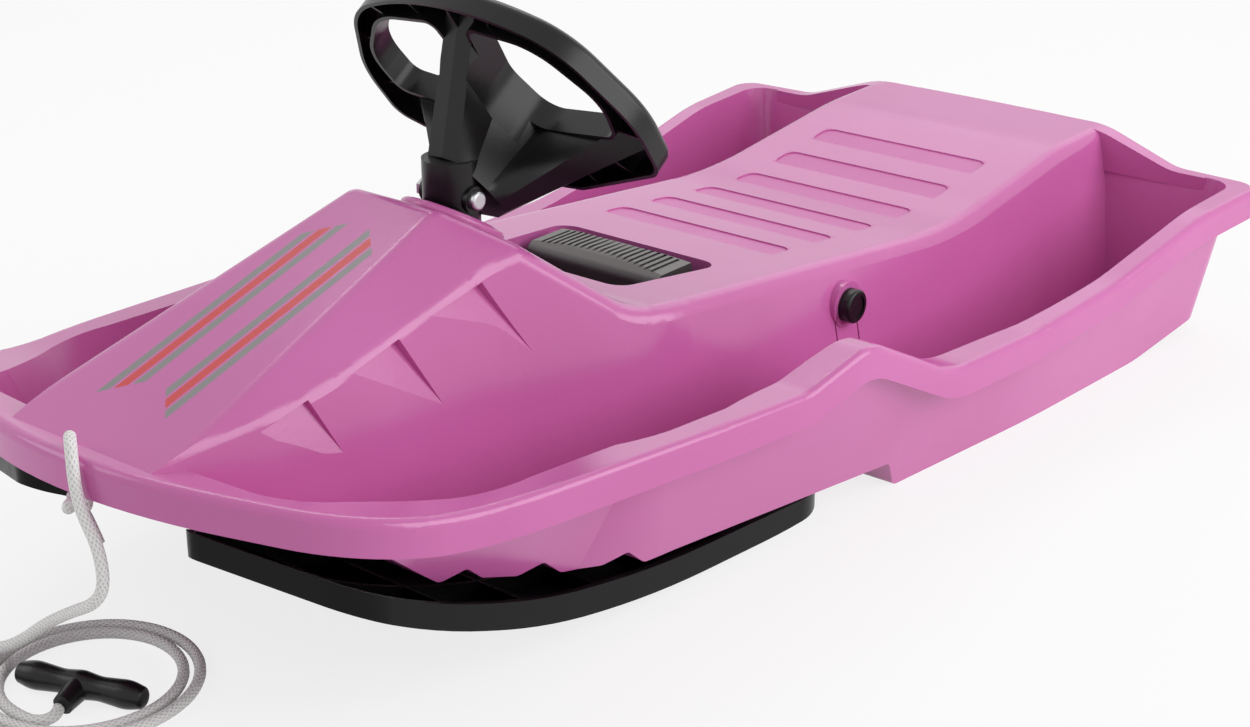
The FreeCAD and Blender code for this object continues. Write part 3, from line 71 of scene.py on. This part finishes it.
# %% Rope route
ROPE_R = 0.004
HANGING = [(0, -553, 178), (0, -553, 198), (26, -572, 196), (26, -572, 174), (31, -572.5, 157),
           (45, -573, 138), (49, -574, 113), (38, -575, 97), (8, -571, 80), (-28, -567, 57), (-58, -566, 33),
           (-88, -566, 16), (-116, -567, 10), (-140, -577, 4), (-149, -597, 4), (-131, -616, 4),
           (-76, -618, 4)]
COIL_STEPS = 9


def coil_turns(x, y, radius, step, halves):
    """Half circles that shrink by half a step each; the points lie outside by what the spline cuts off."""
    points = []
    way = 1
    edge = y - radius
    for half in range(halves):
        centre = edge + way * radius
        for i in range(COIL_STEPS):
            angle = math.pi * (i + 0.5) / COIL_STEPS
            out = radius / math.cos(math.pi / COIL_STEPS / 2)
            points.append((x + way * out * math.sin(angle), centre - way * out * math.cos(angle), 4))
        edge = centre + way * radius
        radius -= step / 2
        way = -way
    return points


TAIL = [(-14, -596.4, 4), (-6, -590, 4), (-6.5, -580, 4), (-12.8, -573.7, 4)]
route = HANGING + coil_turns(-28, -542, 76, 11, 4) + TAIL
print("rope control points", len(route))


# %% [markdown]
# ## From a spline to a tube
# A bevelled curve would do for a plain cord. A braid needs coordinates that run round and along the rope,
# so the spline's own points are read back and a tube with a UV layer is swept along them. The ring is
# carried from point to point with the smallest turn that follows the line, which keeps the braid from
# twisting.

# %% Sweep a tube along a spline
def smooth_line(name, points, resolution):
    """Points along the NURBS spline that has these control points, given in millimetres."""
    curve = bpy.data.curves.new(name, "CURVE")
    curve.dimensions = "3D"
    spline = curve.splines.new("NURBS")
    spline.points.add(len(points) - 1)
    for point, co in zip(spline.points, points):
        point.co = (co[0] / 1000, co[1] / 1000, co[2] / 1000, 1)
    spline.order_u = 3
    spline.use_endpoint_u = True
    spline.resolution_u = resolution
    holder = bpy.data.objects.new(name + "_line", curve)
    mesh = bpy.data.meshes.new_from_object(holder)
    line = [v.co.copy() for v in mesh.vertices]
    bpy.data.objects.remove(holder)
    bpy.data.meshes.remove(mesh)
    return line


def sweep_tube(name, line, radius, sides):
    """Closed tube along a line, with UV running once round it and along it in rope diameters."""
    ahead = [(line[min(i + 1, len(line) - 1)] - line[max(i - 1, 0)]).normalized() for i in range(len(line))]
    across = ahead[0].orthogonal().normalized()
    vertices, runs, run = [], [], 0.0
    for i, (point, way) in enumerate(zip(line, ahead)):
        if i:
            across = ahead[i - 1].rotation_difference(way) @ across
            run += (point - line[i - 1]).length
        runs.append(run / (2 * radius))
        side = way.cross(across)
        for k in range(sides):
            angle = 2 * math.pi * k / sides
            vertices.append(point + (across * math.cos(angle) + side * math.sin(angle)) * radius)
    faces, uvs = [], []
    for i in range(len(line) - 1):
        for k in range(sides):
            n = (k + 1) % sides
            faces.append((i * sides + k, i * sides + n, (i + 1) * sides + n, (i + 1) * sides + k))
            uvs += [(k / sides, runs[i]), ((k + 1) / sides, runs[i]), ((k + 1) / sides, runs[i + 1]),
                    (k / sides, runs[i + 1])]
    last = (len(line) - 1) * sides
    for ring in (tuple(reversed(range(sides))), tuple(range(last, last + sides))):
        faces.append(ring)
        uvs += [(0.5, 0.0)] * sides
    mesh = bpy.data.meshes.new(name)
    mesh.from_pydata(vertices, [], faces)
    layer = mesh.uv_layers.new(name="along")
    for loop, uv in zip(layer.data, uvs):
        loop.uv = uv
    mesh.polygons.foreach_set("use_smooth", [True] * len(mesh.polygons))
    piece = bpy.data.objects.new(name, mesh)
    scene.collection.objects.link(piece)
    return piece


# %% Tow rope
rope_line = smooth_line("tow_rope", route, 4)
tow_braid = sweep_tube("tow_braid", rope_line, ROPE_R, 14)
rope_length = sum((b - a).length for a, b in zip(rope_line, rope_line[1:]))
print("rope length", round(rope_length, 3), "points", len(rope_line))

# %% [markdown]
# ## The stopper knot
# Under the rim the rope is tied into a small lump so that it can't be pulled out, with a short end left
# over. It is one more spline, wound three times round itself, swept with the same tube.

# %% Knot under the rim
KNOT = Vector((0, -553, 147))


def knot_points():
    points = [(0, -553, 177), (0, -553, 169), (0, -553, 160)]
    for i in range(15):
        t = math.radians(60 + 38 * i)
        x = math.sin(t) + 1.6 * math.sin(2 * t)
        y = math.cos(t) - 1.6 * math.cos(2 * t)
        points.append((KNOT.x + 3.1 * x, KNOT.y + 3.1 * y, KNOT.z - 4.5 * math.sin(3 * t)))
    return points + [(8, -552, 139), (12, -551, 130), (15, -550, 122)]


knot_line = smooth_line("rope_knot", knot_points(), 5)
stopper_knot = sweep_tube("stopper_knot", knot_line, ROPE_R * 0.92, 12)
print("knot points", len(knot_line))

# %% [markdown]
# ## What the rope stands for
# Both tubes ride on the tub and take the place of the CAD solids, which are hidden.

for piece, stands_for in ((tow_braid, ("tow_rope", "rope_coil")), (stopper_knot, ("rope_knot",))):
    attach(piece, "sled")
    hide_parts(*stands_for)
print("cord of", 2 * ROPE_R, "m with the handle at its end")

# %% [markdown]
# ## Writing shader maths as sums
# A finish is easier to read as `1 - mask * 0.3` than as a row of boxes. The class below wraps a node's
# output. Python calls its methods for + - and *, and each adds a Math node, also when the number comes
# first.


# %% Values that can be added and multiplied
class Value:
    """A number that changes over the surface."""

    def __init__(self, tree, socket):
        self.tree = tree
        self.socket = socket

    def calc(self, operation, other=0.0, swap=False):
        first, second = (other, self) if swap else (self, other)
        made = self.tree.node("ShaderNodeMath", {"operation": operation}, {0: first, 1: second})
        return Value(self.tree, made.outputs[0])

    def __add__(self, other):
        return self.calc("ADD", other)

    def __radd__(self, other):
        return self.calc("ADD", other, True)

    def __sub__(self, other):
        return self.calc("SUBTRACT", other)

    def __rsub__(self, other):
        return self.calc("SUBTRACT", other, True)

    def __mul__(self, other):
        return self.calc("MULTIPLY", other)

    def __rmul__(self, other):
        return self.calc("MULTIPLY", other, True)

    def size(self):
        return self.calc("ABSOLUTE")

    def wave(self):
        return self.calc("SINE")

    def larger(self, other):
        return self.calc("MAXIMUM", other)

    def rise(self, low, high):
        """0 below low, 1 above high, smooth between."""
        made = self.tree.node("ShaderNodeMapRange", {"interpolation_type": "SMOOTHSTEP"},
                              {"Value": self, "From Min": low, "From Max": high})
        return Value(self.tree, made.outputs[0])

    def within(self, low, high, soft):
        return self.rise(low - soft, low + soft) * (1 - self.rise(high - soft, high + soft))


# %% [markdown]
# ## Trees and finishes
# One method adds every other node: its type, its settings, then what goes into its sockets, a number or a
# link. A finish is such a tree with a shader and with the coordinates that the sled's own frame gives.


# %% Trees and finishes
class Tree:
    """A node tree of a material or of the world."""

    def __init__(self, tree):
        self.tree = tree

    def node(self, kind, settings=None, inputs=None):
        made = self.tree.nodes.new(kind)
        for name, value in (settings or {}).items():
            setattr(made, name, value)
        for name, value in (inputs or {}).items():
            self.feed(made.inputs[name], value)
        return made

    def feed(self, socket, value):
        if isinstance(value, Value):
            value = value.socket
        if isinstance(value, bpy.types.NodeSocket):
            self.tree.links.new(value, socket)
        else:
            socket.default_value = value

    def ray(self, kind):
        """1 for rays of one kind, such as those that come straight from the camera."""
        return Value(self, self.node("ShaderNodeLightPath").outputs[kind])


class Finish(Tree):
    """A material with its shader and the coordinates of the sled's own frame."""

    def __init__(self, name, colour, roughness, **constants):
        self.material = bpy.data.materials.new(name)
        self.material.use_nodes = True
        super().__init__(self.material.node_tree)
        self.shader = self.tree.nodes["Principled BSDF"]
        self.shader.inputs["Base Color"].default_value = (*colour, 1)
        self.shader.inputs["Roughness"].default_value = roughness
        for socket, value in constants.items():
            self.shader.inputs[socket.replace("_", " ")].default_value = value
        place = self.node("ShaderNodeTexCoord")
        self.place = place.outputs["Object"]
        self.along = place.outputs["UV"]
        self.x, self.y, self.z = self.split(self.place)
        self.up = self.split(place.outputs["Normal"])[2]

    def split(self, vector):
        made = self.node("ShaderNodeSeparateXYZ", None, {0: vector})
        return [Value(self, socket) for socket in made.outputs]

    def noise(self, scale, detail=2.0, stretch=(1, 1, 1)):
        moved = self.node("ShaderNodeVectorMath", {"operation": "MULTIPLY"}, {0: self.place, 1: stretch})
        made = self.node("ShaderNodeTexNoise", None,
                         {"Vector": moved.outputs[0], "Scale": scale, "Detail": detail})
        return Value(self, made.outputs[0])

    def blend(self, share, first, second):
        """Colour that goes from first to second as share goes from 0 to 1."""
        made = self.node("ShaderNodeMix", {"data_type": "RGBA"}, {0: share, 6: first, 7: second})
        return made.outputs[2]

    def colour(self, value):
        self.feed(self.shader.inputs["Base Color"], value)

    def rough(self, value):
        self.feed(self.shader.inputs["Roughness"], value)

    def bump(self, height, depth):
        made = self.node("ShaderNodeBump", None, {"Strength": 1.0, "Distance": depth, "Height": height})
        self.feed(self.shader.inputs["Normal"], made.outputs["Normal"])

    def wear(self, *names):
        for name in names:
            piece = nodes[name] if isinstance(name, str) else name
            piece.data.materials.clear()
            piece.data.materials.append(self.material)
        print(self.material.name, "on", len(names), "pieces")


# %% [markdown]
# ## The tub's pink polyethylene
# Moulded polyethylene is glossy, a little waxy and very even in colour. What makes it look real is small:
# an orange-peel skin in the gloss and a faint cloudiness in the dye. On the hood the tub carries printed
# stripes, grey and red. A printed picture would need an image, so they are drawn here from the coordinates
# alone.

# %% Tub finish
PINK = (0.62, 0.148, 0.425, 1)
DEEP_PINK = (0.585, 0.13, 0.39, 1)
tub_pink = Finish("tub_pink", PINK[:3], 0.2, Specular_IOR_Level=0.6)
cloud = tub_pink.noise(5.0, 3.0).rise(0.35, 0.65)
skin_colour = tub_pink.blend(cloud, PINK, DEEP_PINK)


def hood_stripes(finish, inner, outer):
    """Share of one stripe that runs along both sides of the hood's middle, with slanted ends."""
    from_middle = finish.x.size()
    slant = finish.y + from_middle * 0.9
    on_hood = finish.up.rise(0.86, 0.9) * finish.z.rise(0.185, 0.19)
    return from_middle.within(inner, outer, 0.0004) * slant.within(-0.475, -0.29, 0.0004) * on_hood


STRIPE_GREY = (0.235, 0.215, 0.225, 1)
STRIPE_RED = (0.62, 0.03, 0.035, 1)
grey_stripes = hood_stripes(tub_pink, 0.010, 0.0165) + hood_stripes(tub_pink, 0.0275, 0.034)
red_stripes = hood_stripes(tub_pink, 0.0185, 0.0255)
printed = tub_pink.blend(grey_stripes, skin_colour, STRIPE_GREY)
tub_pink.colour(tub_pink.blend(red_stripes, printed, STRIPE_RED))
print("hood stripes: grey", STRIPE_GREY[:3], "red", STRIPE_RED[:3])

# %% [markdown]
# ## Gloss and seat bars
# The seat's bars are pressed a little into the moulding, and their matt skin keeps a rider from sliding.
# Painting a mask by hand would be slow, so a wave along the seat gives the rows, in step with the pressed
# bars. The rest of the tub stays glossy.

# %% Tub gloss
FIRST_BAR = 0.085
BAR_PITCH = 0.062
seat_row = (tub_pink.y - FIRST_BAR) * (2 * math.pi / BAR_PITCH)
bar_rows = seat_row.calc("COSINE").rise(0.02, 0.08) * tub_pink.y.within(0.06, 0.415, 0.002)
seat_bars = bar_rows * tub_pink.x.size().within(-0.1, 0.088, 0.001) * tub_pink.up.rise(0.8, 0.9)
peel = tub_pink.noise(260.0, 1.0)
tub_pink.rough(0.17 + seat_bars * 0.25 + cloud * 0.04 + (grey_stripes + red_stripes) * 0.12)
tub_pink.bump(peel, 0.00006)
tub_pink.wear("tub_shell")

# %% [markdown]
# ## Black moulded plastic
# The wheel, the lever and the caps have the fine grain of an eroded mould, which spreads the highlight. The
# skis are the same plastic with a smooth face. Their gloss is streaked lengthwise, the way snow polishes
# them.

# %% Black finishes
mould_black = Finish("mould_black", (0.006, 0.005, 0.0055), 0.4, Specular_IOR_Level=0.33)
grain = mould_black.noise(900.0, 2.0)
mould_black.rough(0.24 + mould_black.noise(30.0, 3.0) * 0.1)
mould_black.bump(grain, 0.00008)
mould_black.wear("steering_wheel", "brake_lever", "left_axle_cap", "right_axle_cap", "axle_spacers",
                 "ski_bridge", "tow_handle")

ski_black = Finish("ski_black", (0.004, 0.0035, 0.004), 0.3, Specular_IOR_Level=0.15)
streaks = ski_black.noise(60.0, 4.0, (6.0, 0.4, 2.0))
ski_black.rough(0.2 + streaks * 0.25)
ski_black.bump(streaks, 0.00005)
ski_black.wear("left_ski", "right_ski")

# %% [markdown]
# ## Brake grip
# The pad is a softer, greyer plastic. Faces that turn up are painted a lighter grey and faces that turn down
# a darker one, painted light and shade that make its ribs readable from a distance.

# %% Grip finish
grip_grey = Finish("grip_grey", (0.07, 0.066, 0.066), 0.5)
grip_grain = grip_grey.noise(600.0, 2.0)
GRIP_SHADE_GREY = (0.03, 0.028, 0.028, 1)
GRIP_LIT_GREY = (0.15, 0.14, 0.135, 1)
# Painted light and shade: the grey turns lighter as a face turns up and darker as it turns down.
grip_grey.colour(grip_grey.blend(grip_grey.up.rise(0.3, 0.95), GRIP_SHADE_GREY, GRIP_LIT_GREY))
grip_grey.rough(0.42 + grip_grain * 0.15)
grip_grey.bump(grip_grain, 0.0001)
grip_grey.wear("brake_grip")

# %% [markdown]
# ## Steel and bushes
# Bolts, axle, column and claw are zinc-plated: bright, with a fine drawn grain. The bushes are natural
# white plastic.

# %% Metal and bush finishes
zinc = Finish("zinc_steel", (0.62, 0.62, 0.64), 0.3, Metallic=1.0)
drawn = zinc.noise(500.0, 3.0, (1.0, 0.1, 1.0))
zinc.rough(0.22 + drawn * 0.2)
zinc.colour(zinc.blend(zinc.noise(40.0, 3.0), (0.66, 0.66, 0.68, 1), (0.55, 0.55, 0.56, 1)))
zinc.wear("steering_column", "column_pin", "wheel_bolt", "wheel_nut", "ski_bolts", "ski_nuts", "brake_axle",
          "brake_claw", "claw_rivets", "grip_screws")

bush_white = Finish("bush_white", (0.75, 0.75, 0.72), 0.4)
bush_white.rough(0.35 + bush_white.noise(80.0, 2.0) * 0.15)
bush_white.wear("upper_bush", "lower_bush", "thrust_washer")

# %% [markdown]
# ## Braided rope
# A braid is two sets of strands that wind opposite ways and pass over each other. With one coordinate round
# the rope and one along it, each set is a wave along a diagonal. The higher of the two waves is the strand
# on top. The white is painted darker where the strands dip, as painted shade in the braid's grooves.

# %% Rope finish
rope_white = Finish("rope_white", (0.8, 0.79, 0.77), 0.75)
turn, run = rope_white.split(rope_white.along)[:2]
STRANDS = 8
CROSSINGS = 1.7
one_way = ((turn * STRANDS + run * CROSSINGS) * (2 * math.pi)).wave()
other_way = ((turn * STRANDS - run * CROSSINGS) * (2 * math.pi)).wave()
weave = one_way.larger(other_way) * 0.5 + 0.5
# Painted shade: the white turns darker where the braid dips between strands.
rope_white.colour(rope_white.blend(weave.rise(0.3, 0.75), (0.72, 0.71, 0.7, 1), (0.93, 0.925, 0.91, 1)))
rope_white.bump(weave + rope_white.noise(1500.0, 2.0) * 0.25, 0.0005)
rope_white.wear(tow_braid, stopper_knot)

# %% [markdown]
# ## Floor
# The sled stands on white. A floor lit only by lamps would turn grey, so it is lifted towards white for the
# camera and in the plastic's gloss, and it still takes a soft shadow.


# %% Floor
FLOOR_HALF = 9
FLOOR_LIFT = 0.8


def plain_floor():
    mesh = bpy.data.meshes.new("floor")
    corners = [(x * FLOOR_HALF, y * FLOOR_HALF, 0) for x, y in ((-1, -1), (1, -1), (1, 1), (-1, 1))]
    mesh.from_pydata(corners, [], [(0, 1, 2, 3)])
    floor = bpy.data.objects.new("floor", mesh)
    scene.collection.objects.link(floor)
    paint = Finish("floor_white", (0.9, 0.9, 0.9), 0.8)
    lit = paint.node("ShaderNodeEmission", None, {"Color": (1, 1, 1, 1), "Strength": 1.0})
    seen = paint.ray("Is Camera Ray").larger(paint.ray("Is Glossy Ray"))
    both = paint.node("ShaderNodeMixShader", None,
                      {0: seen * FLOOR_LIFT, 1: paint.shader.outputs[0], 2: lit.outputs[0]})
    paint.feed(paint.tree.nodes["Material Output"].inputs["Surface"], both.outputs[0])
    mesh.materials.append(paint.material)


plain_floor()
print("floor stays out of the part")

# %% [markdown]
# ## Lamps
# Plastic shows its gloss only where it mirrors something bright. A wide lamp behind the sled skims the
# seat, one from the left fills the bow, a narrow one draws a line along the edges and the widest lights the
# near side.


# %% Lamps
def soft_lamp(name, place, target, width, height, watts):
    data = bpy.data.lights.new(name, "AREA")
    data.shape = "RECTANGLE"
    data.size, data.size_y, data.energy = width, height, watts
    lamp = bpy.data.objects.new(name, data)
    lamp.location = place
    lamp.rotation_euler = (Vector(target) - Vector(place)).to_track_quat("-Z", "Y").to_euler()
    scene.collection.objects.link(lamp)
    print(name, watts, "W")


soft_lamp("back_lamp", (-0.6, 1.9, 1.5), (0, 0.1, 0.15), 2.2, 1.2, 6)
soft_lamp("left_lamp", (-1.6, -1.6, 1.6), (0, -0.2, 0.15), 1.4, 1.4, 10)
soft_lamp("edge_lamp", (-1.2, 1.0, 2.2), (0, 0.0, 0.15), 1.6, 0.25, 7)
soft_lamp("right_lamp", (2.2, 0.8, 1.3), (0, 0.35, 0.1), 2.4, 1.7, 38)

# %% [markdown]
# ## White world
# The world fills the shadows at half strength. Rays from the camera, and those that the gloss sends out,
# meet it at full strength, which is plain white.

# %% World
FILL = 0.5
world = bpy.data.worlds.new("studio")
scene.world = world
world.use_nodes = True
sky = Tree(world.node_tree)
glow = sky.tree.nodes["Background"]
shown = sky.ray("Is Camera Ray").larger(sky.ray("Is Glossy Ray"))
sky.feed(glow.inputs["Strength"], FILL + shown * (1 - FILL))
sky.feed(glow.inputs["Color"], (1, 1, 1, 1))
scene.view_settings.view_transform = "Standard"
print("world fill", FILL)
